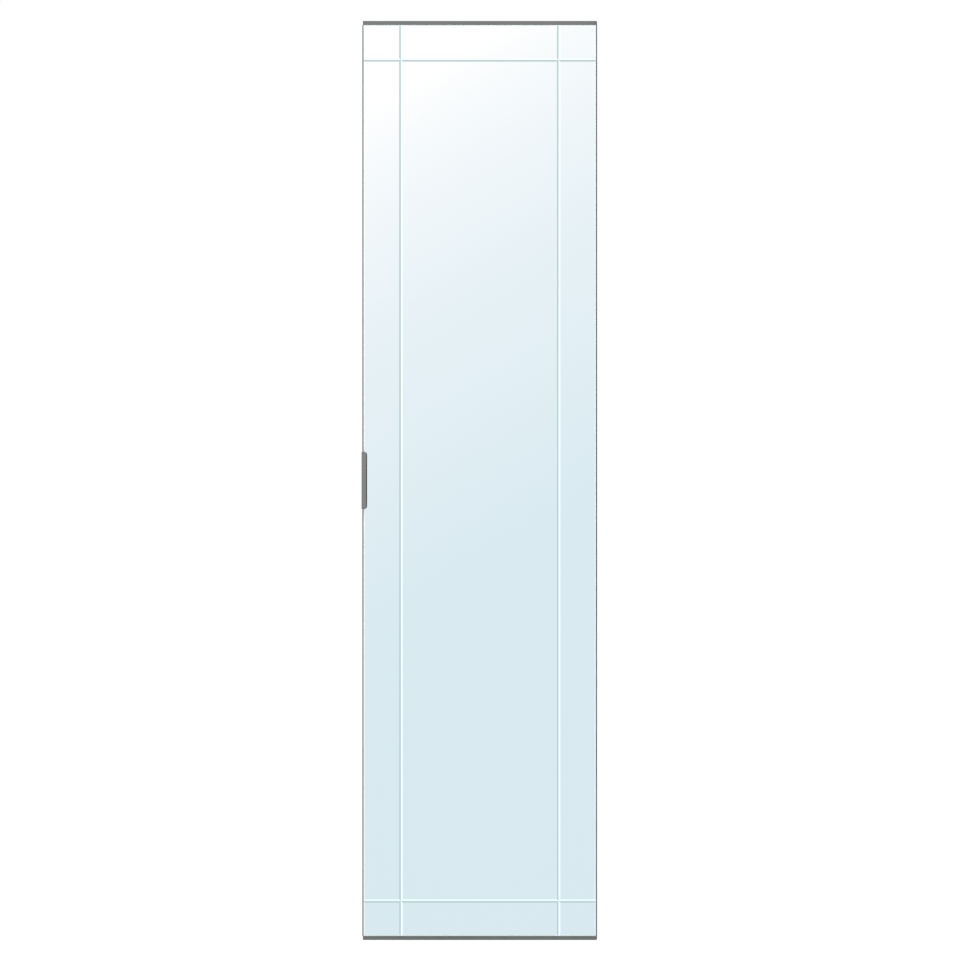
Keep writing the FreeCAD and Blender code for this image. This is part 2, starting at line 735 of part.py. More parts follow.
def closing_spring():
    """Return the leaf that presses toward the inner link."""
    top = ARM_UNDER_U
    low = top - SPRING_T
    tip_u = ARM_INNER[0] + SPRING_T
    tip_v = ARM_INNER[1] + INNER_EYE_R + SPRING_PLAY
    outline = [
        (top, SPRING_END_V), (top, ARM_FRONT_V), (tip_u, tip_v),
        (tip_u - SPRING_T, tip_v), (low, ARM_FRONT_V), (low, SPRING_END_V),
    ]
    return [prism(outline, -SPRING_HALF, SPRING_HALF)]


def mount_plate(screws):
    """Return one plate: wings with two screw holes and the arm's seat."""
    mid = PLATE_MID_V
    wings = section_box(
        OVERLAY, OVERLAY + WING_T, mid - WING_DEPTH / 2, mid + WING_DEPTH / 2, -WING_HALF, WING_HALF)
    corners = [e for e in wings.Edges if e.BoundBox.XLength > WING_T / 2]
    wings = wings.makeFillet(WING_R, corners)
    seat = section_box(OVERLAY, ARM_UNDER_U, SEAT_FRONT_V, SEAT_END_V, -SEAT_HALF, SEAT_HALF)
    uprights = [e for e in seat.Edges if e.BoundBox.XLength > WING_T / 2]
    seat = seat.makeFillet(SEAT_EDGE_R, uprights)
    catch = section_box(CATCH_LOW_U, CATCH_HIGH_U, SEAT_END_V - CATCH_DEPTH, SEAT_END_V, -ARM_HALF, ARM_HALF)
    holes = []
    for side in (1, -1):
        at = vec(OVERLAY, mid, side * PLATE_HOLE_PITCH / 2)
        holes.append(Part.makeCylinder(PLATE_HOLE_R, WING_T, at, PANELWARD * -1))
    return fused([wings, seat]).cut([catch] + holes + screws)


def side_screw():
    """Return the screw that sets the door sideways, with its place."""
    at = vec(ARM_TOP_U, SIDE_SCREW_V)
    body = Part.makeCylinder(SIDE_SCREW_R, ARM_WALL + SIDE_SCREW_SINK, at, PANELWARD)
    return [(body, tuple(at), tuple(PANELWARD))]


def depth_screw():
    """Return the screw that clamps the arm to its seat, with its place."""
    at = vec(ARM_TOP_U + DEPTH_HEAD_H, DEPTH_SCREW_V)
    head = Part.makeCylinder(DEPTH_HEAD_R, DEPTH_HEAD_H, at, PANELWARD)
    reach = DEPTH_HEAD_H + ARM_WALL + DEPTH_SCREW_SINK
    shank = Part.makeCylinder(DEPTH_SCREW_R, reach, at, PANELWARD)
    return [(fused([head, shank]), tuple(at), tuple(PANELWARD))]


def lever_pin():
    """Return the pin of one release lever."""
    return [post(LEVER_PIVOT, PIN_R, -ARM_HALF, ARM_HALF)]


def release_lever():
    """Return the hooked lever that frees the arm from its plate."""
    half = ARM_HALF - ARM_WALL - LEVER_PLAY
    tab_end = (LEVER_PIVOT[0] + LEVER_TAB_U, LEVER_PIVOT[1] + LEVER_TAB_V)
    tip_v = SEAT_END_V - HOOK_LAP
    high_u = CATCH_HIGH_U - HOOK_PLAY
    low_u = CATCH_LOW_U + HOOK_PLAY
    hook = [
        (LEVER_PIVOT[0], LEVER_PIVOT[1] - LEVER_BOSS_R / 2), (high_u, SEAT_END_V), (high_u, tip_v),
        (low_u, tip_v), (low_u, SEAT_END_V + HOOK_PLAY), (LEVER_PIVOT[0] - LEVER_BOSS_R, LEVER_PIVOT[1]),
    ]
    boss = post(LEVER_PIVOT, LEVER_BOSS_R, -half, half)
    tab = straight_bar(LEVER_PIVOT, tab_end, LEVER_TAB_HALF, -half, half)
    tip = post(tab_end, LEVER_TAB_HALF, -half, half)
    body = fused([boss, tab, tip, prism(hook, -half, half)])
    return body.cut(post(LEVER_PIVOT, RUN_R, -half, half))


def save(name, shapes):
    """Write one node, a single solid or a group of separate solids."""
    shape = shapes[0] if len(shapes) == 1 else Part.makeCompound(shapes)
    shape.exportStep("parts/" + name + ".step")


def build_leaf():
    """Build every piece of the door leaf but the hinges."""
    rails = {end: rail_screws(end) for end in (1, -1)}
    strips = {side: strip_screws(side) for side in (-1, 1)}
    pulls = handle_screws()
    cups = [screw for z in HINGE_Z for screw in cup_screws(z)]
    everything = rails[1] + rails[-1] + strips[1] + strips[-1] + pulls + cups
    save("core_board", [core_board(plain(everything))])
    save("mirror_pane", [mirror_pane()])
    save("mirror_tape", mirror_tape())
    save("top_rail", [rail(1, plain(rails[1]))])
    save("bottom_rail", [rail(-1, plain(rails[-1]))])
    save("rail_caps_handle_side", [at_end(flat_cap(), end) for end in (1, -1)])
    save("rail_caps_hinge_side", [at_end(round_cap(), end) for end in (1, -1)])
    save("rail_screws", finished(rails[1] + rails[-1]))
    save("strip_handle_side", [edge_strip(-1, plain(strips[-1]))])
    save("strip_hinge_side", [edge_strip(1, plain(strips[1]))])
    save("strip_screws", finished(strips[-1] + strips[1]))
    save("pull_handle", [pull_handle(plain(pulls))])
    save("handle_screws", finished(pulls))
    save("door_bumpers", door_bumpers())
    save("cup_screws", finished(cups))


def build_hinges():
    """Build the three hinges and the pins and screws they share."""
    cup = hinge_cup(plain(cup_screws(0)), cup_stubs() + cup_pin())
    plates = both_sides(outer_plate, PLATE_IN, PLATE_OUT)
    lever = inner_link()
    arm = hinge_arm(arm_outer_pin() + arm_inner_pin() + lever_pin(), plain(side_screw()))
    plate = mount_plate(plain(side_screw() + depth_screw()))
    release = release_lever()
    for name, z in zip(HINGE_NAMES, HINGE_Z):
        save("hinge_cup_" + name, [moved(cup, z)])
        save("outer_link_" + name, [moved(p, z) for p in plates])
        save("inner_link_" + name, [moved(lever, z)])
        save("hinge_arm_" + name, [moved(arm, z)])
        save("mount_plate_" + name, [moved(plate, z)])
        save("release_lever_" + name, [moved(release, z)])
    save("cup_pins_outer", at_hinges(cup_stubs()))
    save("cup_pins_inner", at_hinges(cup_pin()))
    save("arm_pins_outer", at_hinges(arm_outer_pin()))
    save("arm_pins_inner", at_hinges(arm_inner_pin()))
    save("side_screws", at_hinges(finished(side_screw())))
    save("depth_screws", at_hinges(finished(depth_screw())))
    save("closing_springs", at_hinges(closing_spring()))
    save("lever_pins", at_hinges(lever_pin()))


os.makedirs("parts", exist_ok=True)
build_leaf()
build_hinges()
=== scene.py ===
"""Looks of a mirrored wardrobe door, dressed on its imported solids.

A tall mirror with cut V-grooves sits in a slim grey frame with an edge pull,
on a white board that hangs on three concealed cup hinges. Lengths are metres
in the shared frame: +Z up, the mirror faces -Y, the hinge edge is at +X.
"""

import json
import logging
import math
from dataclasses import dataclass, field
from enum import Enum
from typing import Any, Callable, Optional, Sequence

import bmesh
import bpy
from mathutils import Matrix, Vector

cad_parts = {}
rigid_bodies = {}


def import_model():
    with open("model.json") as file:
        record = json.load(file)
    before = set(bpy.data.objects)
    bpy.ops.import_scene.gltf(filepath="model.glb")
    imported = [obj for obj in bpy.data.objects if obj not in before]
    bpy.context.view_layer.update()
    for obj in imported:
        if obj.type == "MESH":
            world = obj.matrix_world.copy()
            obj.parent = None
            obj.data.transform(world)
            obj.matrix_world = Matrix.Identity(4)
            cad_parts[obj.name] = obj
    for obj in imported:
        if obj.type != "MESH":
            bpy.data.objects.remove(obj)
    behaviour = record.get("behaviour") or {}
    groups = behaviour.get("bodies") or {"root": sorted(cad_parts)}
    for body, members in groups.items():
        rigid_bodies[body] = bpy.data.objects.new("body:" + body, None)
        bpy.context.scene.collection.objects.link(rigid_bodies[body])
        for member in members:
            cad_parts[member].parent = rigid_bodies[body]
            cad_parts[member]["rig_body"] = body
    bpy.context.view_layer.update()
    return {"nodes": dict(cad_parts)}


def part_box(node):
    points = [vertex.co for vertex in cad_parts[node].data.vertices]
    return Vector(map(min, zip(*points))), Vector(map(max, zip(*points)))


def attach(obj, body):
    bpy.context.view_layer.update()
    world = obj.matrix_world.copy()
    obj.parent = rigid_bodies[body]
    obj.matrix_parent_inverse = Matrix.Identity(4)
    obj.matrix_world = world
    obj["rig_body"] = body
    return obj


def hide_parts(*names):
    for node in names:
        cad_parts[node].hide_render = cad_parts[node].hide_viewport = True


LOG = logging.getLogger("wardrobe_door")
MM = 0.001
HEIGHTS = ("top", "middle", "bottom")
HINGE_KINDS = ("hinge_cup", "hinge_arm", "mount_plate", "outer_link", "inner_link", "release_lever")
MERGE_DIST = 1e-6
WHITE = (1.0, 1.0, 1.0, 1.0)
# A noise texture's values lie mostly in this span, and each finer octave adds this share.
MARK_SPAN = {"From Min": 0.3, "From Max": 0.7}
OCTAVE_SHARE = 0.55
# Rays that pass a card by, so that only reflections show it.
ALL_BUT_GLOSSY = ("camera", "diffuse", "shadow", "transmission")

Node = bpy.types.Node
Socket = bpy.types.NodeSocket
Tree = bpy.types.NodeTree
Inputs = dict[Any, Any]
Triple = tuple[float, float, float]
WayAt = Callable[[Vector], Vector]


def linear(code: str) -> tuple[float, float, float, float]:
    """Turn an sRGB hex colour into a linear one.

    Args:
        code: six hex digits, such as "D9EAF1".

    Returns:
        Red, green, blue and an alpha of one.
    """
    parts = [int(code[i:i + 2], 16) / 255 for i in (0, 2, 4)]
    rgb = [c / 12.92 if c <= 0.04045 else ((c + 0.055) / 1.055) ** 2.4 for c in parts]
    return (rgb[0], rgb[1], rgb[2], 1.0)


def add(tree: Tree, kind: str, inputs: Optional[Inputs] = None, **settings: Any) -> Node:
    """Add one node with its settings, values and links.

    Args:
        tree: tree that takes the node.
        kind: the node's type name.
        inputs: by input name or index, a value, or what to link: a socket, a node for its
            first output, or a list of these.
        settings: properties of the node itself.

    Returns:
        The new node.
    """
    node = tree.nodes.new(kind)
    for key, value in settings.items():
        setattr(node, key, value)
    for key, value in (inputs or {}).items():
        sources = value if isinstance(value, list) else [value]
        if not isinstance(sources[0], (Node, Socket)):
            node.inputs[key].default_value = value
            continue
        for source in sources:
            tree.links.new(source.outputs[0] if isinstance(source, Node) else source, node.inputs[key])
    return node


class Grain(Enum):
    """Which way a surface's fine marks run."""

    ALONG_X = (1.0, 0.0, 0.0)
    ALONG_Z = (0.0, 0.0, 1.0)
    EVEN = (0.0, 0.0, 0.0)

    def scale(self, width_mm: float, run: float) -> tuple[float, ...]:
        """Work out a mapping scale.

        Args:
            width_mm: size of one mark across its run, in millimetres.
            run: how many times longer than wide a mark is.

        Returns:
            Marks per metre along each axis.
        """
        across = 1.0 / (width_mm * MM)
        return tuple(across / run if along else across for along in self.value)


@dataclass(frozen=True)
class Finish:
    """A surface: what it is made of and how it was made."""

    name: str

    def material(self) -> bpy.types.Material:
        """Make the material on its first use.

        Returns:
            The finish's material.
        """
        known = bpy.data.materials.get(self.name)
        if known is not None:
            return known
        made = bpy.data.materials.new(self.name)
        made.use_nodes = True
        tree = made.node_tree
        tree.nodes.clear()
        shader = add(tree, "ShaderNodeBsdfPrincipled", self.shade(tree))
        add(tree, "ShaderNodeOutputMaterial", {"Surface": shader})
        return made

    def shade(self, tree: Tree) -> Inputs:
        """Add the patterns of the surface.

        Args:
            tree: the material's tree.

        Returns:
            What the surface shader takes, by input name.
        """
        raise NotImplementedError

    def marks(self, tree: Tree, grain: Grain, width_mm: float, run: float = 1.0,
              detail: float = 3.0) -> Node:
        """Add fine marks of a real size.

        Args:
            tree: the material's tree.
            grain: which way the marks run.
            width_mm: size of one mark across its run.
            run: how many times longer than wide a mark is.
            detail: octaves of finer marks.

        Returns:
            A value mostly within the marks' span.
        """
        place = add(tree, "ShaderNodeTexCoord")
        sized = add(tree, "ShaderNodeMapping", {
            "Vector": place.outputs["Object"], "Scale": grain.scale(width_mm, run)})
        return add(tree, "ShaderNodeTexNoise", {
            "Vector": sized, "Scale": 1.0, "Detail": detail, "Roughness": OCTAVE_SHARE})

    def tinted(self, tree: Tree, marks: Node, low: str, high: str) -> Socket:
        """Let marks run between two colours.

        Args:
            tree: the material's tree.
            marks: the marks.
            low: hex colour at their low end.
            high: hex colour at their high end.

        Returns:
            The mixed colour.
        """
        share = add(tree, "ShaderNodeMapRange", {"Value": marks, **MARK_SPAN})
        mix = add(tree, "ShaderNodeMix", {"Factor": share, "A": linear(low), "B": linear(high)},
                  data_type="RGBA")
        return mix.outputs["Result"]


@dataclass(frozen=True)
class GlassCuts:
    """The bevel and the V-grooves of the pane, in millimetres."""

    bevel_w: float = 2.5
    bevel_depth: float = 0.8
    groove_half_w: float = 3.5
    groove_depth: float = 1.0
    groove_off_x: float = 167.0
    groove_off_z: float = 890.4


@dataclass(frozen=True)
class SilveredGlass(Finish):
    """Silvered float glass: a mirror with the faint blue-green of soda-lime glass.

    Its polished V-grooves throw other parts of the room at the eye. The edge
    bevel is only ground, so it scatters light into a pale gritty line.
    """

    centre: Triple
    half_w: float
    half_h: float
    cuts: GlassCuts
    tint: str = "D9EAF1"
    ground: tuple[str, str] = ("F2FCFF", "FAFFFF")
    ground_rough: tuple[float, float] = (0.42, 0.58)
    ground_silver: float = 0.15
    grit_mm: float = 0.5
    wave_mm: float = 260.0
    wave_depth_mm: float = 0.02
    wave_shown: float = 0.5

    def shade(self, tree: Tree) -> Inputs:
        """Add the ground bevel and the glass's slow wave.

        Args:
            tree: the material's tree.

        Returns:
            What the surface shader takes, by input name.
        """
        edge = self.edge(tree)
        # Grinding grit leaves pits of about 0.1 mm, drawn here 0.5 mm wide so that they show.
        grit = self.marks(tree, Grain.EVEN, self.grit_mm)
        ground = self.tinted(tree, grit, *self.ground)
        colour = add(tree, "ShaderNodeMix", {"Factor": edge, "A": linear(self.tint), "B": ground},
                     data_type="RGBA")
        matt = add(tree, "ShaderNodeMapRange", {
            "Value": grit, **MARK_SPAN, "To Min": self.ground_rough[0], "To Max": self.ground_rough[1]})
        rough = add(tree, "ShaderNodeMath", {0: edge, 1: matt}, operation="MULTIPLY")
        silver = add(tree, "ShaderNodeMapRange", {"Value": edge, "To Min": 1.0, "To Max": self.ground_silver})
        # The slow wave that rollers leave in float glass bends far reflections a little.
        wave = self.marks(tree, Grain.EVEN, self.wave_mm, detail=0.0)
        relief = add(tree, "ShaderNodeBump", {
            "Height": wave, "Distance": self.wave_depth_mm * MM, "Strength": self.wave_shown})
        return {"Base Color": colour.outputs["Result"], "Roughness": rough, "Metallic": silver,
                "Normal": relief}

    def edge(self, tree: Tree) -> Node:
        """Find the ground bevel round the pane.

        Args:
            tree: the material's tree.

        Returns:
            One on the bevel and zero on the rest of the pane.
        """
        place = add(tree, "ShaderNodeTexCoord")
        middle = add(tree, "ShaderNodeVectorMath", {0: place.outputs["Object"], 1: self.centre},
                     operation="SUBTRACT")
        size = add(tree, "ShaderNodeVectorMath", {0: middle}, operation="ABSOLUTE")
        axes = add(tree, "ShaderNodeSeparateXYZ", {0: size}).outputs
        sides = self.ground_band(tree, axes["X"], self.half_w, axes["Z"], self.cuts.groove_off_z * MM)
        ends = self.ground_band(tree, axes["Z"], self.half_h, axes["X"], self.cuts.groove_off_x * MM)
        return add(tree, "ShaderNodeMath", {0: sides, 1: ends}, operation="MAXIMUM")

    def ground_band(self, tree: Tree, out: Socket, half: float, along: Socket, groove: float) -> Node:
        """Find the bevel on two opposite edges, without the grooves that cross it.

        A groove is deeper than the bevel, so it crosses it as a band that narrows toward the edge.

        Args:
            tree: the material's tree.
            out: distance from the middle toward the edge.
            half: that distance at the edge itself.
            along: distance from the middle along the edge.
            groove: that distance at the groove's middle.

        Returns:
            One on the ground bevel and zero elsewhere.
        """
        cuts = self.cuts
        steep = cuts.groove_half_w / cuts.groove_depth
        least = steep * (cuts.groove_depth - cuts.bevel_depth) * MM
        inside = add(tree, "ShaderNodeMath", {0: half, 1: out}, operation="SUBTRACT")
        bevel = add(tree, "ShaderNodeMath", {0: inside, 1: cuts.bevel_w * MM}, operation="LESS_THAN")
        reach = add(tree, "ShaderNodeMath", {0: inside, 1: steep * cuts.bevel_depth / cuts.bevel_w, 2: least},
                    operation="MULTIPLY_ADD")
        off = add(tree, "ShaderNodeMath", {0: along, 1: groove}, operation="SUBTRACT")
        aside = add(tree, "ShaderNodeMath", {0: off}, operation="ABSOLUTE")
        beside = add(tree, "ShaderNodeMath", {0: aside, 1: reach}, operation="GREATER_THAN")
        return add(tree, "ShaderNodeMath", {0: bevel, 1: beside}, operation="MULTIPLY")


@dataclass(frozen=True)
class DrawnMetal(Finish):
    """Metal with fine marks from drawing, rolling or tumbling under a satin sheen."""

    low: str
    high: str
    rough: tuple[float, float]
    grain: Grain = Grain.EVEN
    mark_mm: float = 0.6
    run: float = 60.0
    depth_mm: float = 0.01
    depth_shown: float = 0.15
    broad: float = 40.0
    broad_run: float = 0.25
    broad_share: float = 0.5

    def shade(self, tree: Tree) -> Inputs:
        """Add fine and broad marks along the metal.

        Args:
            tree: the material's tree.

        Returns:
            What the surface shader takes, by input name.
        """
        run = 1.0 if self.grain is Grain.EVEN else self.run
        fine = self.marks(tree, self.grain, self.mark_mm, run)
        broad = self.marks(tree, self.grain, self.mark_mm * self.broad, run * self.broad_run, detail=1.0)
        both = add(tree, "ShaderNodeMix", {"Factor": self.broad_share, "A": fine, "B": broad})
        satin = add(tree, "ShaderNodeMapRange", {
            "Value": fine, **MARK_SPAN, "To Min": self.rough[0], "To Max": self.rough[1]})
        relief = add(tree, "ShaderNodeBump", {
            "Height": fine, "Distance": self.depth_mm * MM, "Strength": self.depth_shown})
        return {"Base Color": self.tinted(tree, both, self.low, self.high), "Roughness": satin,
                "Metallic": 1.0, "Normal": relief}


@dataclass(frozen=True)
class Moulded(Finish):
    """A non-metal with a fine even texture from its mould, press or foam."""

    low: str
    high: str
    rough: tuple[float, float]
    mark_mm: float
    depth_mm: float
    depth_shown: float = 0.6
    clear: float = 0.0
    broad: float = 120.0

    def shade(self, tree: Tree) -> Inputs:
        """Add a fine texture and a broad change of tint.

        Args:
            tree: the material's tree.

        Returns:
            What the surface shader takes, by input name.
        """
        fine = self.marks(tree, Grain.EVEN, self.mark_mm)
        broad = self.marks(tree, Grain.EVEN, self.mark_mm * self.broad, detail=2.0)
        matt = add(tree, "ShaderNodeMapRange", {
            "Value": fine, **MARK_SPAN, "To Min": self.rough[0], "To Max": self.rough[1]})
        relief = add(tree, "ShaderNodeBump", {
            "Height": fine, "Distance": self.depth_mm * MM, "Strength": self.depth_shown})
        return {"Base Color": self.tinted(tree, broad, self.low, self.high), "Roughness": matt,
                "Transmission Weight": self.clear, "Normal": relief}


# Extrusions are drawn lengthwise, then etched and anodised: satin, with streaks along the bar.
# The real streaks are about 0.1 mm wide, drawn here 0.6 mm wide so that they show.
RAIL_METAL = DrawnMetal("anodised_aluminium_rail", "6E7071", "7F8182", (0.36, 0.43), Grain.ALONG_X)
STRIP_METAL = DrawnMetal("anodised_aluminium_strip", "57595A", "67696A", (0.36, 0.43), Grain.ALONG_Z)
PULL_METAL = DrawnMetal("anodised_aluminium_pull", "818283", "929394", (0.28, 0.34), Grain.ALONG_Z)
# Moulded caps take the spark-eroded grain of their mould, a shade darker than the metal.
# The real grain is about 0.2 mm wide, drawn here 0.6 mm wide so that it shows.
CAP_PLASTIC = Moulded("moulded_cap_plastic", "5F6161", "666868", (0.45, 0.6), mark_mm=0.6, depth_mm=0.03)
# Melamine foil is pressed with a fine pearl grain that breaks up the gloss.
BOARD_FOIL = Moulded("white_melamine_foil", "E3E2DE", "E6E5E1", (0.38, 0.48), mark_mm=0.9, depth_mm=0.03)
# Pressed hinge steel is tumbled before its bright nickel plate, so it stays a little cloudy.
# The tumbling's small dents are drawn coarser than they are here and on screws and springs.
HINGE_NICKEL = DrawnMetal("nickel_plated_steel", "BFBCB5", "C9C6BF", (0.19, 0.25), mark_mm=1.2,
                          depth_mm=0.004)
# Screws are zinc plated over rolled threads: a cooler, duller bright metal than the nickel.
SCREW_ZINC = DrawnMetal("zinc_plated_screw", "A9AEB2", "B8BDC1", (0.26, 0.36), mark_mm=0.8, depth_mm=0.004)
# Leaf springs stay in their oiled blue-grey temper.
SPRING_STEEL = DrawnMetal("oiled_spring_steel", "4C4F55", "5C5F64", (0.3, 0.38), mark_mm=0.8, depth_mm=0.004)
# Closed-cell foam tape shows its cells as a soft matt texture.
TAPE_FOAM = Moulded("white_foam_tape", "E6E4DC", "EFEDE6", (0.8, 0.95), mark_mm=0.7, depth_mm=0.12)
# Polyurethane buffers are cast clear and slightly cloudy.
BUFFER_CLEAR = Moulded("clear_polyurethane", "E4E8E8", "EEF1F0", (0.12, 0.2), mark_mm=2.0, depth_mm=0.01,
                       clear=0.75)
# Studio vinyl is rolled nearly smooth and stays matt.
FLOOR_VINYL = Moulded("pale_studio_vinyl", "F3F3F1", "F6F6F4", (0.55, 0.65), mark_mm=3.0, depth_mm=0.02)


class Slot(Enum):
    """The record's material slots, by name."""

    NICKEL = "nickel_steel"
    ZINC = "zinc_screw"
    SOFT = "soft_buffer"


@dataclass(frozen=True)
class Place:
    """Where one repeated piece sits: its foot or head, and the way it points."""

    point: Vector
    way: Vector


def solids(node: bpy.types.Object) -> list[tuple[Vector, Vector]]:
    """Find the separate solids of a node.

    Args:
        node: a CAD node's object.

    Returns:
        The lowest and highest corner of each solid.
    """
    shape = bmesh.new()
    shape.from_mesh(node.data)
    bmesh.ops.remove_doubles(shape, verts=shape.verts, dist=MERGE_DIST)
    boxes, seen = [], set()
    for start in shape.verts:
        if start in seen:
            continue
        seen.add(start)
        stack, found = [start], []
        while stack:
            vertex = stack.pop()
            found.append(vertex.co.copy())
            for edge in vertex.link_edges:
                other = edge.other_vert(vertex)
                if other not in seen:
                    seen.add(other)
                    stack.append(other)
        low = Vector([min(p[i] for p in found) for i in range(3)])
        high = Vector([max(p[i] for p in found) for i in range(3)])
        boxes.append((low, high))
    shape.free()
    return boxes


def start_places(node: bpy.types.Object, way_at: WayAt) -> list[Place]:
    """Find where a node's repeated solids start.

    Args:
        node: their CAD node.
        way_at: gives the way that a solid round a point runs.

    Returns:
        The middle of each solid's first face, and the way it runs.
    """
    places = []
    for low, high in solids(node):
        middle = (low + high) / 2
        way = way_at(middle)
        reach = abs(way.dot(high - low)) / 2
        places.append(Place(middle - way * reach, way))
    return places


def new_object(name: str, data: Any) -> bpy.types.Object:
    """Put a new object into the scene.

    Args:
        name: its name.
        data: its mesh, light or camera.

    Returns:
        The new object.
    """
    made = bpy.data.objects.new(name, data)
    bpy.context.scene.collection.objects.link(made)
    return made


def plain_mesh(piece: bpy.types.Object) -> bpy.types.Object:
    """Turn a piece and its modifiers into a plain mesh.

    Args:
        piece: a mesh object with modifiers.

    Returns:
        The same piece, with no modifier left.
    """
    graph = bpy.context.evaluated_depsgraph_get()
    mesh = bpy.data.meshes.new_from_object(piece.evaluated_get(graph))
    piece.modifiers.clear()
    old, piece.data = piece.data, mesh
    bpy.data.meshes.remove(old)
    mesh.name = piece.name
    return piece


@dataclass
class PointForm:
    """A form made by Geometry Nodes and set on every point of a mesh.

    Forms of one kind share a tree. Its inputs are their sizes by name, lengths in metres.
    """

    sizes: dict[str, float]
    tree: Tree = field(init=False)
    given: Any = field(init=False)

    name = "point_form"
    sharp_deg = 32.0
    dome_sides = 32
    dome_rings = 8
    dome_power = 3.0

    def __post_init__(self) -> None:
        """Find the tree, or make it on its first use."""
        known = bpy.data.node_groups.get(self.name)
        self.tree = known or bpy.data.node_groups.new(self.name, "GeometryNodeTree")
        if known is None:
            self.grow()

    def grow(self) -> None:
        """Fill in the tree: one form on each point, turned its way, shaded and dressed."""
        tree = self.tree
        tree.interface.new_socket("Points", in_out="INPUT", socket_type="NodeSocketGeometry")
        for size in self.sizes:
            tree.interface.new_socket(size, in_out="INPUT", socket_type="NodeSocketFloat")
        tree.interface.new_socket("Material", in_out="INPUT", socket_type="NodeSocketMaterial")
        tree.interface.new_socket("Pieces", in_out="OUTPUT", socket_type="NodeSocketGeometry")
        self.given = add(tree, "NodeGroupInput").outputs
        way = add(tree, "GeometryNodeInputNamedAttribute", {"Name": "way"}, data_type="FLOAT_VECTOR")
        turn = add(tree, "FunctionNodeAlignRotationToVector", {"Vector": way}, axis="Z")
        spread = add(tree, "GeometryNodeInstanceOnPoints", {
            "Points": self.given["Points"], "Instance": self.form(), "Rotation": turn})
        real = add(tree, "GeometryNodeRealizeInstances", {0: spread})
        smooth = add(tree, "GeometryNodeSetShadeSmooth", {0: real, "Shade Smooth": True}, domain="FACE")
        angle = add(tree, "GeometryNodeInputMeshEdgeAngle")
        sharp = add(tree, "FunctionNodeCompare", {0: angle, 1: math.radians(self.sharp_deg)},
                    data_type="FLOAT", operation="GREATER_THAN")
        crisp = add(tree, "GeometryNodeSetShadeSmooth", {
            0: smooth, "Selection": sharp, "Shade Smooth": False}, domain="EDGE")
        dressed = add(tree, "GeometryNodeSetMaterial", {0: crisp, "Material": self.given["Material"]})
        add(tree, "NodeGroupOutput", {0: dressed})

    def form(self) -> Node:
        """Add one form that starts at the origin and runs along +Z."""
        raise NotImplementedError

    def raised(self, shape: Node, height: Socket, turned: bool = False) -> Node:
        """Move a shape up.

        Args:
            shape: the shape.
            height: how far it goes up.
            turned: whether it is also turned over about its origin.

        Returns:
            The moved shape.
        """
        up = add(self.tree, "ShaderNodeCombineXYZ", {"Z": height})
        over = (math.pi if turned else 0.0, 0.0, 0.0)
        return add(self.tree, "GeometryNodeTransform", {0: shape, "Translation": up, "Rotation": over})

    def dome(self, radius: Socket, height: Socket, crown: Socket) -> Node:
        """Add a low dome: a unit drum whose wall draws in toward its crown.

        Args:
            radius: the foot's radius.
            height: the dome's height.
            crown: share of the radius that is lost at the top.

        Returns:
            The dome, with its foot at the origin.
        """
        tree = self.tree
        drum = add(tree, "GeometryNodeMeshCylinder", {
            "Vertices": self.dome_sides, "Side Segments": self.dome_rings, "Radius": 1.0, "Depth": 1.0})
        place = add(tree, "GeometryNodeInputPosition")
        axes = add(tree, "ShaderNodeSeparateXYZ", {0: place}).outputs
        # The drum is centred, so half its height more runs from zero at the foot to one at the top.
        level = add(tree, "ShaderNodeMath", {0: axes["Z"], 1: 0.5}, operation="ADD")
        curve = add(tree, "ShaderNodeMath", {0: level, 1: self.dome_power}, operation="POWER")
        lost = add(tree, "ShaderNodeMath", {0: curve, 1: crown}, operation="MULTIPLY")
        kept = add(tree, "ShaderNodeMath", {0: 1.0, 1: lost}, operation="SUBTRACT")
        across = [add(tree, "ShaderNodeMath", {0: axes[i], 1: kept}, operation="MULTIPLY") for i in (0, 1)]
        drawn = add(tree, "ShaderNodeCombineXYZ", {0: across[0], 1: across[1], 2: level})
        crowned = add(tree, "GeometryNodeSetPosition", {0: drum, "Position": drawn})
        size = add(tree, "ShaderNodeCombineXYZ", {0: radius, 1: radius, 2: height})
        return add(tree, "GeometryNodeTransform", {0: crowned, "Scale": size})

    def set_on(self, name: str, places: Sequence[Place], finish: Finish) -> bpy.types.Object:
        """Make the pieces as one plain mesh.

        Args:
            name: the new piece's name.
            places: where the forms sit.
            finish: surface of the pieces.

        Returns:
            The new piece.
        """
        mesh = bpy.data.meshes.new(name)
        mesh.from_pydata([p.point for p in places], [], [])
        ways = mesh.attributes.new("way", "FLOAT_VECTOR", "POINT")
        ways.data.foreach_set("vector", [c for p in places for c in p.way])
        piece = new_object(name, mesh)
        modifier = piece.modifiers.new(self.name, "NODES")
        modifier.node_group = self.tree
        values = {**self.sizes, "Material": finish.material()}
        for item in self.tree.interface.items_tree:
            if item.in_out == "INPUT" and item.name in values:
                modifier[item.identifier] = values[item.name]
        return plain_mesh(piece)


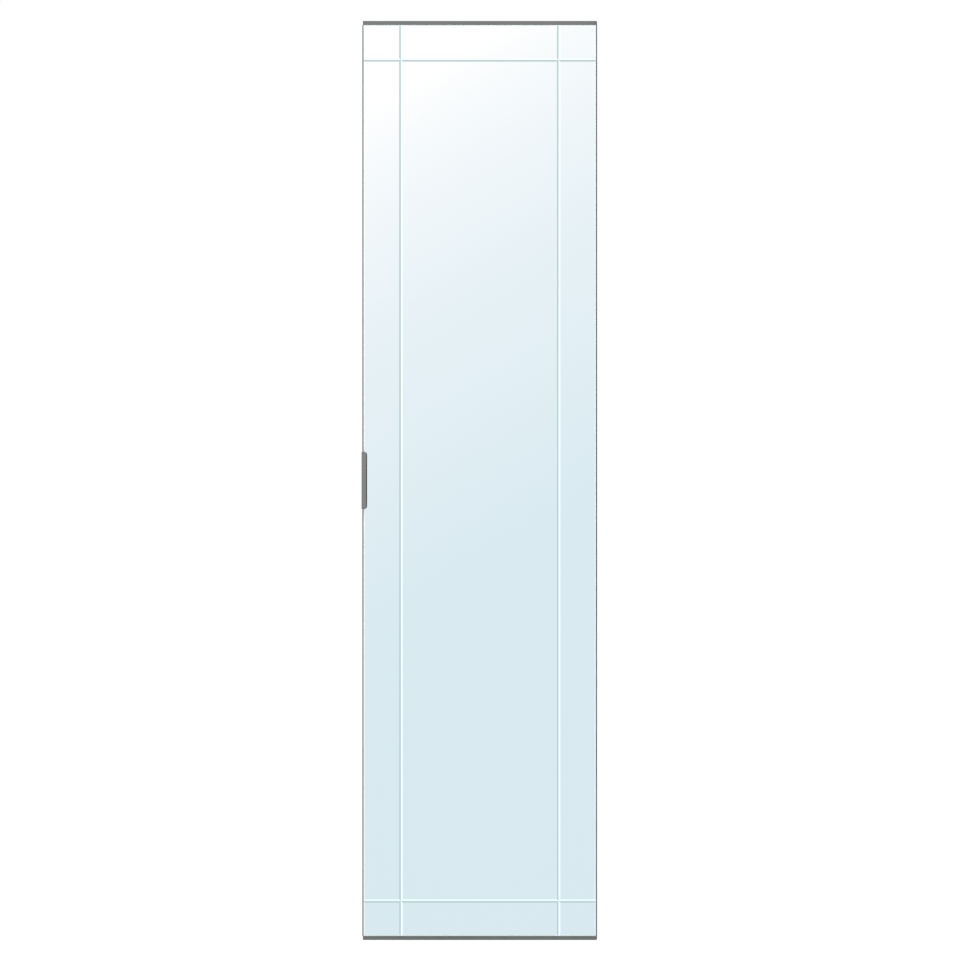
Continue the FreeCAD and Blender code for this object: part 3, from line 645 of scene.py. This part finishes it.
class CrossScrew(PointForm):
    """A countersunk screw with a cross recess, a rolled thread and a point."""

    name = "cross_screw"
    head_sides = 32
    shank_sides = 20
    turn_points = 14
    ridge_sides = 4

    def form(self) -> Node:
        """Add one screw.

        Returns:
            The screw.
        """
        tree, given = self.tree, self.given
        core = given["Core Radius"]
        head = add(tree, "GeometryNodeMeshCone", {
            "Vertices": self.head_sides, "Radius Bottom": given["Head Radius"],
            "Radius Top": given["Shank Radius"], "Depth": given["Head Height"]})
        sunk = add(tree, "GeometryNodeMeshBoolean", {"Mesh 1": head, "Mesh 2": self.recess()},
                   operation="DIFFERENCE")
        shank = add(tree, "GeometryNodeMeshCone", {
            "Vertices": self.shank_sides, "Radius Bottom": core, "Radius Top": core,
            "Depth": given["Shank Length"]})
        point = add(tree, "GeometryNodeMeshCone", {
            "Vertices": self.shank_sides, "Radius Bottom": core, "Radius Top": given["Tip Radius"],
            "Depth": given["Point Length"]})
        parts = [sunk, self.thread(), self.raised(shank, given["Shank Start"]),
                 self.raised(point, given["Point Start"])]
        return add(tree, "GeometryNodeJoinGeometry", {0: parts})

    def recess(self) -> list[Node]:
        """Add the two crossing bars that sink the recess, one a little deeper so that no faces meet.

        Returns:
            The bars.
        """
        length, width = self.given["Recess Length"], self.given["Recess Width"]
        bars = []
        for first, second, depth in ((length, width, "Recess Depth"), (width, length, "Cross Depth")):
            size = add(self.tree, "ShaderNodeCombineXYZ", {0: first, 1: second, 2: self.given[depth]})
            bars.append(add(self.tree, "GeometryNodeMeshCube", {"Size": size}))
        return bars

    def thread(self) -> Node:
        """Add the rolled thread as a swept ridge.

        Returns:
            The thread, in its place on the shank.
        """
        tree, given = self.tree, self.given
        coil = add(tree, "GeometryNodeCurveSpiral", {
            "Resolution": self.turn_points, "Rotations": given["Turns"], "Start Radius": given["Core Radius"],
            "End Radius": given["Core Radius"], "Height": given["Thread Length"]})
        ridge = add(tree, "GeometryNodeCurvePrimitiveCircle", {
            "Resolution": self.ridge_sides, "Radius": given["Ridge Radius"]})
        swept = add(tree, "GeometryNodeCurveToMesh", {0: coil, 1: ridge, "Fill Caps": True})
        return self.raised(swept, given["Thread Start"])


class Buffer(PointForm):
    """A low cast dome that sticks by its flat foot."""

    name = "cast_buffer"

    def form(self) -> Node:
        """Add one buffer."""
        return self.dome(self.given["Radius"], self.given["Height"], self.given["Crown"])


class Rivet(PointForm):
    """A plain pin whose two ends are spun over into low domes."""

    name = "spun_rivet"
    pin_sides = 24

    def form(self) -> Node:
        """Add one rivet.

        Returns:
            The rivet.
        """
        given = self.given
        head = self.dome(given["Head Radius"], given["Head Height"], given["Crown"])
        pin = add(self.tree, "GeometryNodeMeshCone", {
            "Vertices": self.pin_sides, "Radius Bottom": given["Pin Radius"],
            "Radius Top": given["Pin Radius"], "Depth": given["Pin Length"]})
        parts = [self.raised(pin, given["Head Height"]), self.raised(head, given["Head Height"], turned=True),
                 self.raised(head, given["Far Head"])]
        return add(self.tree, "GeometryNodeJoinGeometry", {0: parts})


@dataclass(frozen=True)
class ScrewSize:
    """Sizes of one kind of countersunk screw: millimetres, and shares of its own sizes."""

    head_r: float
    head_h: float
    shank_r: float
    length: float
    recess: float = 3.4
    recess_width: float = 0.26
    recess_depth: tuple[float, float] = (1.5, 1.4)
    core: float = 0.72
    ridge: float = 0.24
    shank_start: float = 0.9
    shank_end: float = 0.85
    point_start: float = 0.84
    tip_r: float = 0.1
    thread_start: float = 0.15
    thread_run: float = 0.7
    pitch: float = 0.85
    sunk: float = 0.02

    def inputs(self) -> dict[str, float]:
        """Work out every size of the screw.

        The point starts inside the shank, so that no two faces touch.

        Returns:
            The sizes by the names of the screw's tree, lengths in metres.
        """
        shank_start, thread = self.head_h * self.shank_start, self.length * self.thread_run
        lengths = {
            "Head Radius": self.head_r, "Head Height": self.head_h,
            "Recess Length": self.recess, "Recess Width": self.recess * self.recess_width,
            "Recess Depth": self.head_h * self.recess_depth[0],
            "Cross Depth": self.head_h * self.recess_depth[1],
            "Shank Radius": self.shank_r, "Core Radius": self.shank_r * self.core,
            "Shank Start": shank_start, "Shank Length": self.length * self.shank_end - shank_start,
            "Point Start": self.length * self.point_start,
            "Point Length": self.length * (1.0 - self.point_start), "Tip Radius": self.tip_r,
            "Thread Start": self.length * self.thread_start, "Thread Length": thread,
            "Ridge Radius": self.shank_r * self.ridge}
        turns = thread / (self.shank_r * self.pitch)
        return {"Turns": turns, **{name: length * MM for name, length in lengths.items()}}


@dataclass
class SubAssembly:
    """A part of the door that makes and dresses its own pieces."""

    nodes: dict[str, bpy.types.Object]

    def build(self) -> None:
        """Make and dress the pieces."""
        raise NotImplementedError

    def dress(self, finish: Finish, *names: str) -> None:
        """Put a finish on CAD nodes that keep their own shape.

        Args:
            finish: their surface.
            names: the nodes' names.
        """
        for name in names:
            for spot in self.nodes[name].material_slots:
                spot.material = finish.material()
            LOG.info("%s: %s", name, finish.name)

    def stand_for(self, piece: bpy.types.Object, name: str, slot: Slot) -> None:
        """Let a new piece stand for a CAD node and ride with it.

        Args:
            piece: the new piece.
            name: the CAD node's name.
            slot: the piece's material slot; not used.
        """
        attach(piece, self.nodes[name]["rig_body"])
        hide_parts(name)
        LOG.info("%s: stands for %s", piece.name, name)

    def set_screws(self, name: str, size: ScrewSize, way_at: WayAt) -> None:
        """Set one group of screws in place of its CAD node.

        Args:
            name: the CAD node's name.
            size: the screws' sizes.
            way_at: gives the way that a screw at a point is driven.
        """
        places = [Place(p.point + p.way * size.sunk * MM, p.way)
                  for p in start_places(self.nodes[name], way_at)]
        piece = CrossScrew(size.inputs()).set_on(name + "_driven", places, SCREW_ZINC)
        self.stand_for(piece, name, Slot.ZINC)


@dataclass
class MirrorLeaf(SubAssembly):
    """The board, the mirror pane and the tape between them."""

    cuts: GlassCuts = GlassCuts()

    def build(self) -> None:
        """Dress the three layers."""
        low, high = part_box("mirror_pane")
        middle, half = (low + high) / 2, (high - low) / 2
        glass = SilveredGlass("silvered_float_glass", tuple(middle), half.x, half.z, self.cuts)
        self.dress(glass, "mirror_pane")
        self.dress(BOARD_FOIL, "core_board")
        self.dress(TAPE_FOAM, "mirror_tape")


@dataclass
class EdgeFrame(SubAssembly):
    """The rails, their end caps and the edge strips, with their screws."""

    screw: ScrewSize = ScrewSize(head_r=2.6, head_h=1.1, shank_r=1.5, length=22.0)

    def build(self) -> None:
        """Dress the frame and set its screws."""
        self.dress(RAIL_METAL, "top_rail", "bottom_rail")
        self.dress(STRIP_METAL, "strip_handle_side", "strip_hinge_side")
        self.dress(CAP_PLASTIC, "rail_caps_handle_side", "rail_caps_hinge_side")
        low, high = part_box("core_board")
        middle = (low + high) / 2
        self.set_screws("rail_screws", self.screw, lambda p: Vector((0, 0, -1 if p.z > middle.z else 1)))
        self.set_screws("strip_screws", self.screw, lambda p: Vector((-1 if p.x > middle.x else 1, 0, 0)))


@dataclass
class EdgePull(SubAssembly):
    """The bent pull on the handle edge, its screws and the buffers on that side."""

    screw: ScrewSize = ScrewSize(head_r=2.8, head_h=1.2, shank_r=1.6, length=12.0)
    buffer_crown: float = 0.45

    def build(self) -> None:
        """Dress the pull and set screws and buffers."""
        self.dress(PULL_METAL, "pull_handle")
        self.set_screws("handle_screws", self.screw, lambda p: Vector((0, -1, 0)))
        node = self.nodes["door_bumpers"]
        low, high = solids(node)[0]
        size = high - low
        form = Buffer({"Radius": size.x / 2, "Height": size.y, "Crown": self.buffer_crown})
        feet = start_places(node, lambda p: Vector((0, 1, 0)))
        self.stand_for(form.set_on("buffers_cast", feet, BUFFER_CLEAR), "door_bumpers", Slot.SOFT)


@dataclass
class CupHinges(SubAssembly):
    """Three concealed hinges: cups, links, arms, plates, pins, springs and screws."""

    screw: ScrewSize = ScrewSize(head_r=2.9, head_h=1.0, shank_r=1.6, length=13.0)
    pin_r_mm: float = 1.25
    rivet_head_mm: float = 0.7
    rivet_crown: float = 0.5
    edge_mm: float = 0.15
    edge_steps: int = 2
    edge_deg: float = 40.0
    flat_deg: float = 0.5
    flat_weight: int = 90
    sharp_deg: float = 34.0

    def build(self) -> None:
        """Work the pressed pieces, dress the pins and set rivets and screws."""
        for kind in HINGE_KINDS:
            for height in HEIGHTS:
                self.work(f"{kind}_{height}", HINGE_NICKEL, Slot.NICKEL)
        self.dress(HINGE_NICKEL, "cup_pins_outer", "cup_pins_inner", "arm_pins_inner", "lever_pins")
        self.dress(SPRING_STEEL, "closing_springs")
        for name in ("side_screws", "depth_screws"):
            self.work(name, SCREW_ZINC, Slot.ZINC)
        self.set_screws("cup_screws", self.screw, lambda p: Vector((0, -1, 0)))
        self.rivets()

    def work(self, name: str, finish: Finish, slot: Slot) -> None:
        """Let a copy of a pressed or turned node, with its sharp edges broken, stand for it.

        Args:
            name: the CAD node's name.
            finish: surface of the copy.
            slot: the copy's material slot.
        """
        shape = bmesh.new()
        shape.from_mesh(self.nodes[name].data)
        bmesh.ops.remove_doubles(shape, verts=shape.verts, dist=MERGE_DIST)
        bmesh.ops.dissolve_limit(shape, angle_limit=math.radians(self.flat_deg), verts=shape.verts,
                                 edges=shape.edges)
        for face in shape.faces:
            face.smooth = True
        mesh = bpy.data.meshes.new(name + "_worked")
        shape.to_mesh(mesh)
        shape.free()
        piece = new_object(mesh.name, mesh)
        edge = piece.modifiers.new("broken_edge", "BEVEL")
        edge.width, edge.segments = self.edge_mm * MM, self.edge_steps
        edge.limit_method, edge.angle_limit = "ANGLE", math.radians(self.edge_deg)
        piece.modifiers.new("no_slivers", "WELD").merge_threshold = 2 * MERGE_DIST
        flat = piece.modifiers.new("flat_faces", "WEIGHTED_NORMAL")
        flat.weight, flat.keep_sharp = self.flat_weight, True
        plain_mesh(piece)
        piece.data.set_sharp_from_angle(angle=math.radians(self.sharp_deg))
        piece.data.materials.clear()
        piece.data.materials.append(finish.material())
        self.stand_for(piece, name, slot)

    def rivets(self) -> None:
        """Set the spun rivets that the outer links turn on."""
        node = self.nodes["arm_pins_outer"]
        low, high = solids(node)[0]
        size, head = high - low, self.rivet_head_mm * MM
        form = Rivet({
            "Pin Radius": self.pin_r_mm * MM, "Pin Length": size.z - 2 * head, "Head Radius": size.x / 2,
            "Head Height": head, "Far Head": size.z - head, "Crown": self.rivet_crown})
        places = start_places(node, lambda p: Vector((0, 0, 1)))
        self.stand_for(form.set_on("arm_rivets_spun", places, HINGE_NICKEL), "arm_pins_outer", Slot.NICKEL)


class Side(Enum):
    """A side of the mirror, as a step along X and along Z."""

    RIGHT = (1, 0)
    LEFT = (-1, 0)
    ABOVE = (0, 1)
    BELOW = (0, -1)


@dataclass(frozen=True)
class CardLight:
    """Light of a card at its foot and its top, where the room is one."""

    low: Triple
    high: Triple


@dataclass(frozen=True)
class Lamp:
    """A very soft light that no reflection shows."""

    name: str
    energy: float
    turn_deg: tuple[float, float]


SIDE_LIGHT = {
    Side.RIGHT: CardLight((0.74, 0.775, 0.775), (0.73, 0.765, 0.715)),
    Side.LEFT: CardLight((1.38, 1.38, 1.38), (1.40, 1.40, 1.40)),
    Side.ABOVE: CardLight((0.75, 0.775, 0.765), (0.715, 0.735, 0.66)),
    Side.BELOW: CardLight((1.22, 1.22, 1.22), (1.40, 1.40, 1.40))}


@dataclass
class Studio:
    """A pale floor, soft light all round, cards that shape it, and the camera.

    Cards and their spans are measured from the mirror's middle, edges or front.
    """

    # Camera
    distance: float = 30.0
    view_m: float = 2.0327
    aim_mm: tuple[float, float] = (0.57, 1.0)
    sensor_mm: float = 36.0
    sight_m: float = 500.0
    # Floor and room
    floor_gap: float = 0.09
    floor_reach: float = 80.0
    fall: Triple = (0.25, 0.0, 0.25)
    mirror_rise: float = 0.35
    first_bounce: float = 1.5
    # Far cards that the grooves show
    cuts: GlassCuts = GlassCuts()
    side_away: float = 20.0
    side_spare: float = 0.1
    side_slack: float = 0.06
    # Near card over the top rail, dim ones for the right strip and the pull
    rail_light: CardLight = CardLight((1.7, 1.7, 1.7), (1.7, 1.7, 1.7))
    rail_half_w: float = 2.6
    rail_span: tuple[float, float] = (0.08787, 0.7)
    rail_away: float = 1.5
    strip_light: float = 0.25
    strip_span: tuple[float, float] = (0.05, 0.6)
    strip_away: float = 0.5
    pull_light: float = 0.12
    pull_aside: float = 0.12
    pull_span: tuple[float, float] = (0.2, 0.002)
    # Window glow
    glow_light: Triple = (1.44, 1.215, 1.138)
    glow_lean: float = 0.6
    glow_span: tuple[float, float] = (-0.926, 0.196)
    glow_box: tuple[float, float, float, float] = (-1.4, 1.4, -1.0, 2.6)
    glow_behind: float = 1.0
    glow_fall: tuple[tuple[float, float], ...] = (
        (0.0, 1.0), (0.105, 0.77), (0.287, 0.52), (0.468, 0.33), (0.74, 0.17), (1.0, 0.0))
    # Lamps
    lamps: tuple[Lamp, ...] = (Lamp("overhead_sky", 1.12, (-12, -8)), Lamp("front_fill", 0.8, (60, 0)))
    lamp_spread_deg: float = 100.0
    # The mirror's own measures
    middle: Vector = field(init=False)
    half: Vector = field(init=False)
    front: float = field(init=False)

    def __post_init__(self) -> None:
        """Measure the mirror that the stage is set up for."""
        low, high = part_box("mirror_pane")
        self.middle, self.half, self.front = (low + high) / 2, (high - low) / 2, low.y

    def build(self) -> None:
        """Make the stage, the light and the camera."""
        self.world()
        self.floor()
        self.cards()
        self.glow()
        self.hang_lamps()
        self.camera()
        bpy.context.scene.view_settings.view_transform = "Standard"

    def world(self) -> None:
        """Light the room with soft white that falls off to the sides and overhead.

        The fall shows only in reflections and shading; straight on, the room is plain white. Toward
        the back the mirror finds more light, so that its grooves' two flanks differ in every view.
        """
        world = bpy.data.worlds.new("soft_white_room")
        world.use_nodes = True
        tree = world.node_tree
        tree.nodes.clear()
        ahead = add(tree, "ShaderNodeTexCoord").outputs["Generated"]
        size = add(tree, "ShaderNodeVectorMath", {0: ahead}, operation="ABSOLUTE")
        aside = add(tree, "ShaderNodeVectorMath", {0: size, 1: self.fall}, operation="DOT_PRODUCT")
        kept = add(tree, "ShaderNodeMath", {0: 1.0, 1: aside.outputs["Value"]}, operation="SUBTRACT")
        behind = add(tree, "ShaderNodeSeparateXYZ", {0: ahead})
        rise = add(tree, "ShaderNodeMapRange", {
            "Value": behind.outputs["Y"], "From Min": -1.0, "From Max": 1.0, "To Max": self.mirror_rise})
        lift = add(tree, "ShaderNodeMath", {0: rise, 1: self.mirror_sight(tree)}, operation="MULTIPLY")
        total = add(tree, "ShaderNodeMath", {0: kept, 1: lift}, operation="ADD")
        shaped = add(tree, "ShaderNodeBackground", {"Color": WHITE, "Strength": total})
        plain = add(tree, "ShaderNodeBackground", {"Color": WHITE, "Strength": 1.0})
        path = add(tree, "ShaderNodeLightPath")
        both = add(tree, "ShaderNodeMixShader", {0: path.outputs["Is Camera Ray"], 1: shaped, 2: plain})
        add(tree, "ShaderNodeOutputWorld", {"Surface": both})
        bpy.context.scene.world = world

    def mirror_sight(self, tree: Tree) -> Node:
        """Find what the clear mirror shows first.

        Args:
            tree: a stage surface's or the room's tree.

        Returns:
            One for what is seen straight in the mirror and zero for the rest.
        """
        path = add(tree, "ShaderNodeLightPath").outputs
        first = add(tree, "ShaderNodeMath", {0: path["Glossy Depth"], 1: self.first_bounce},
                    operation="LESS_THAN")
        return add(tree, "ShaderNodeMath", {0: path["Is Singular Ray"], 1: first}, operation="MULTIPLY")

    def plane(self, name: str, corners: Sequence[Vector], material: bpy.types.Material,
              unseen: Sequence[str]) -> None:
        """Make a flat stage piece.

        Args:
            name: its name.
            corners: its four corners in order.
            material: its surface.
            unseen: the kinds of ray that pass it by.
        """
        mesh = bpy.data.meshes.new(name)
        mesh.from_pydata([tuple(c) for c in corners], [], [(0, 1, 2, 3)])
        mesh.materials.append(material)
        piece = new_object(name, mesh)
        for ray in unseen:
            setattr(piece, f"visible_{ray}", False)

    def floor(self) -> None:
        """Lay a pale seamless floor under the hung door, out of the mirror's sight."""
        level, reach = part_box("bottom_rail")[0].z - self.floor_gap, self.floor_reach
        corners = [Vector((x * reach, y * reach, level)) for x, y in ((-1, -1), (1, -1), (1, 1), (-1, 1))]
        self.plane("studio_floor", corners, FLOOR_VINYL.material(), ("glossy",))

    def lit(self, name: str, soft: bool = False) -> tuple[bpy.types.Material, Node]:
        """Start the surface of a lit card.

        Args:
            name: the material's name.
            soft: whether only satin surfaces show the card, and the clear mirror doesn't.

        Returns:
            The material and its light.
        """
        made = bpy.data.materials.new(name)
        made.use_nodes = True
        tree = made.node_tree
        tree.nodes.clear()
        light = surface = add(tree, "ShaderNodeEmission")
        if soft:
            clear = add(tree, "ShaderNodeBsdfTransparent")
            surface = add(tree, "ShaderNodeMixShader", {0: self.mirror_sight(tree), 1: light, 2: clear})
        add(tree, "ShaderNodeOutputMaterial", {"Surface": surface})
        return made, light

    def upright(self, box: Sequence[float], away: float) -> list[Vector]:
        """Find the corners of an upright card.

        Args:
            box: its left, right, foot and top, from the middle of the mirror.
            away: how far it hangs in front of the mirror.

        Returns:
            Its four corners in order.
        """
        y = self.front - away
        x0, x1 = (self.middle.x + v for v in box[:2])
        z0, z1 = (self.middle.z + v for v in box[2:])
        return [Vector(c) for c in ((x0, y, z0), (x1, y, z0), (x1, y, z1), (x0, y, z1))]

    def card(self, name: str, shine: CardLight, box: Sequence[float], away: float) -> None:
        """Hang an upright card that changes evenly from its foot to its top.

        Args:
            name: its name.
            shine: its light.
            box: its left, right, foot and top, from the middle of the mirror.
            away: how far it hangs in front of the mirror.
        """
        made, light = self.lit(name)
        tree = made.node_tree
        corners = self.upright(box, away)
        place = add(tree, "ShaderNodeTexCoord")
        axes = add(tree, "ShaderNodeSeparateXYZ", {0: place.outputs["Object"]})
        level = add(tree, "ShaderNodeMapRange", {
            "Value": axes.outputs["Z"], "From Min": corners[0].z, "From Max": corners[2].z})
        mix = add(tree, "ShaderNodeMix", {"Factor": level, "A": (*shine.low, 1.0), "B": (*shine.high, 1.0)},
                  data_type="RGBA")
        tree.links.new(mix.outputs["Result"], light.inputs["Color"])
        self.plane(name, corners, made, ALL_BUT_GLOSSY)

    def flag(self, name: str, corners: Sequence[Vector], shine: float) -> None:
        """Hang a dim card that only satin metal shows.

        Args:
            name: its name.
            corners: its four corners in order.
            shine: how bright it is, where the room is one.
        """
        made, light = self.lit(name, soft=True)
        light.inputs["Strength"].default_value = shine
        self.plane(name, corners, made, ALL_BUT_GLOSSY)

    def cards(self) -> None:
        """Hang what the grooves and edges pick up.

        The grooves' flanks look 32 degrees aside, so their cards hang far off, where they are narrow
        and leave the satin metal alone. A near card lifts the top rail, and dim ones shade the right
        strip and the pull's bevel.
        """
        tilt = math.atan(self.cuts.groove_depth / self.cuts.groove_half_w)
        aside = self.side_away * math.tan(2 * tilt)
        grow, slack = 1.0 + self.side_away / self.distance, self.side_slack * aside
        wide, tall = self.half.x, self.half.z
        for side, shine in SIDE_LIGHT.items():
            x, z = side.value
            reach_x = (wide + self.side_spare) * grow + abs(x) * slack
            reach_z = (tall + self.side_spare) * grow + abs(z) * slack
            box = (x * aside - reach_x, x * aside + reach_x, z * aside - reach_z, z * aside + reach_z)
            self.card(f"card_{side.name.lower()}", shine, box, self.side_away)
        foot, top = (tall + rise for rise in self.rail_span)
        self.card("card_top_rail", self.rail_light, (-self.rail_half_w, self.rail_half_w, foot, top),
                  self.rail_away)
        left, right = (wide + out for out in self.strip_span)
        self.flag("flag_right", self.upright((left, right, -tall, tall), self.strip_away), self.strip_light)
        low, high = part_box("pull_handle")
        x = high.x + self.pull_aside
        y0, y1 = (self.front - out for out in self.pull_span)
        self.flag("flag_pull", [Vector(c) for c in (
            (x, y0, low.z), (x, y1, low.z), (x, y1, high.z), (x, y0, high.z))], self.pull_light)

    def glow(self) -> None:
        """Hang the broad window glow that the mirror shows at its upper left."""
        made, light = self.lit("window_glow")
        tree = made.node_tree
        away = self.distance + self.glow_behind
        grow = 1.0 + away / self.distance
        place = add(tree, "ShaderNodeTexCoord")
        middle = add(tree, "ShaderNodeVectorMath", {0: place.outputs["Object"], 1: tuple(self.middle)},
                     operation="SUBTRACT")
        slope = add(tree, "ShaderNodeVectorMath", {0: middle, 1: (self.glow_lean / grow, 0.0, -1.0 / grow)},
                    operation="DOT_PRODUCT")
        run = add(tree, "ShaderNodeMapRange", {
            "Value": slope.outputs["Value"], "From Min": self.glow_span[0], "From Max": self.glow_span[1]})
        ramp = add(tree, "ShaderNodeValToRGB", {"Fac": run})
        stops = ramp.color_ramp.elements
        for at, _ in self.glow_fall[1:-1]:
            stops.new(at)
        for stop, (at, value) in zip(stops, self.glow_fall):
            stop.position, stop.color = at, (value, value, value, 1.0)
        mix = add(tree, "ShaderNodeMix", {"Factor": ramp, "A": WHITE, "B": (*self.glow_light, 1.0)},
                  data_type="RGBA")
        tree.links.new(mix.outputs["Result"], light.inputs["Color"])
        self.plane("window_glow", self.upright(self.glow_box, away), made, ALL_BUT_GLOSSY)

    def hang_lamps(self) -> None:
        """Hang the soft lights, one overhead and one in front."""
        for lamp in self.lamps:
            data = bpy.data.lights.new(lamp.name, "SUN")
            data.energy, data.angle = lamp.energy, math.radians(self.lamp_spread_deg)
            hung = new_object(lamp.name, data)
            hung.rotation_euler = (*(math.radians(turn) for turn in lamp.turn_deg), 0.0)
            hung.visible_glossy = False

    def camera(self) -> None:
        """Look straight at the mirror from far off, as the photograph does."""
        data = bpy.data.cameras.new("camera")
        data.sensor_width = self.sensor_mm
        data.lens = self.sensor_mm * self.distance / self.view_m
        data.clip_end = self.sight_m
        camera = new_object("camera", data)
        right, up = (v * MM for v in self.aim_mm)
        camera.location = (self.middle.x + right, self.front - self.distance, self.middle.z + up)
        camera.rotation_euler = (math.radians(90), 0.0, 0.0)
        bpy.context.scene.camera = camera


def main() -> None:
    """Build every part of the door and its stage."""
    logging.basicConfig(level=logging.INFO, format="%(message)s")
    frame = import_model()
    Studio().build()
    for kind in (MirrorLeaf, EdgeFrame, EdgePull, CupHinges):
        kind(frame["nodes"]).build()
        LOG.info("%s is dressed", kind.__name__)


if __name__ == "__main__":
    main()
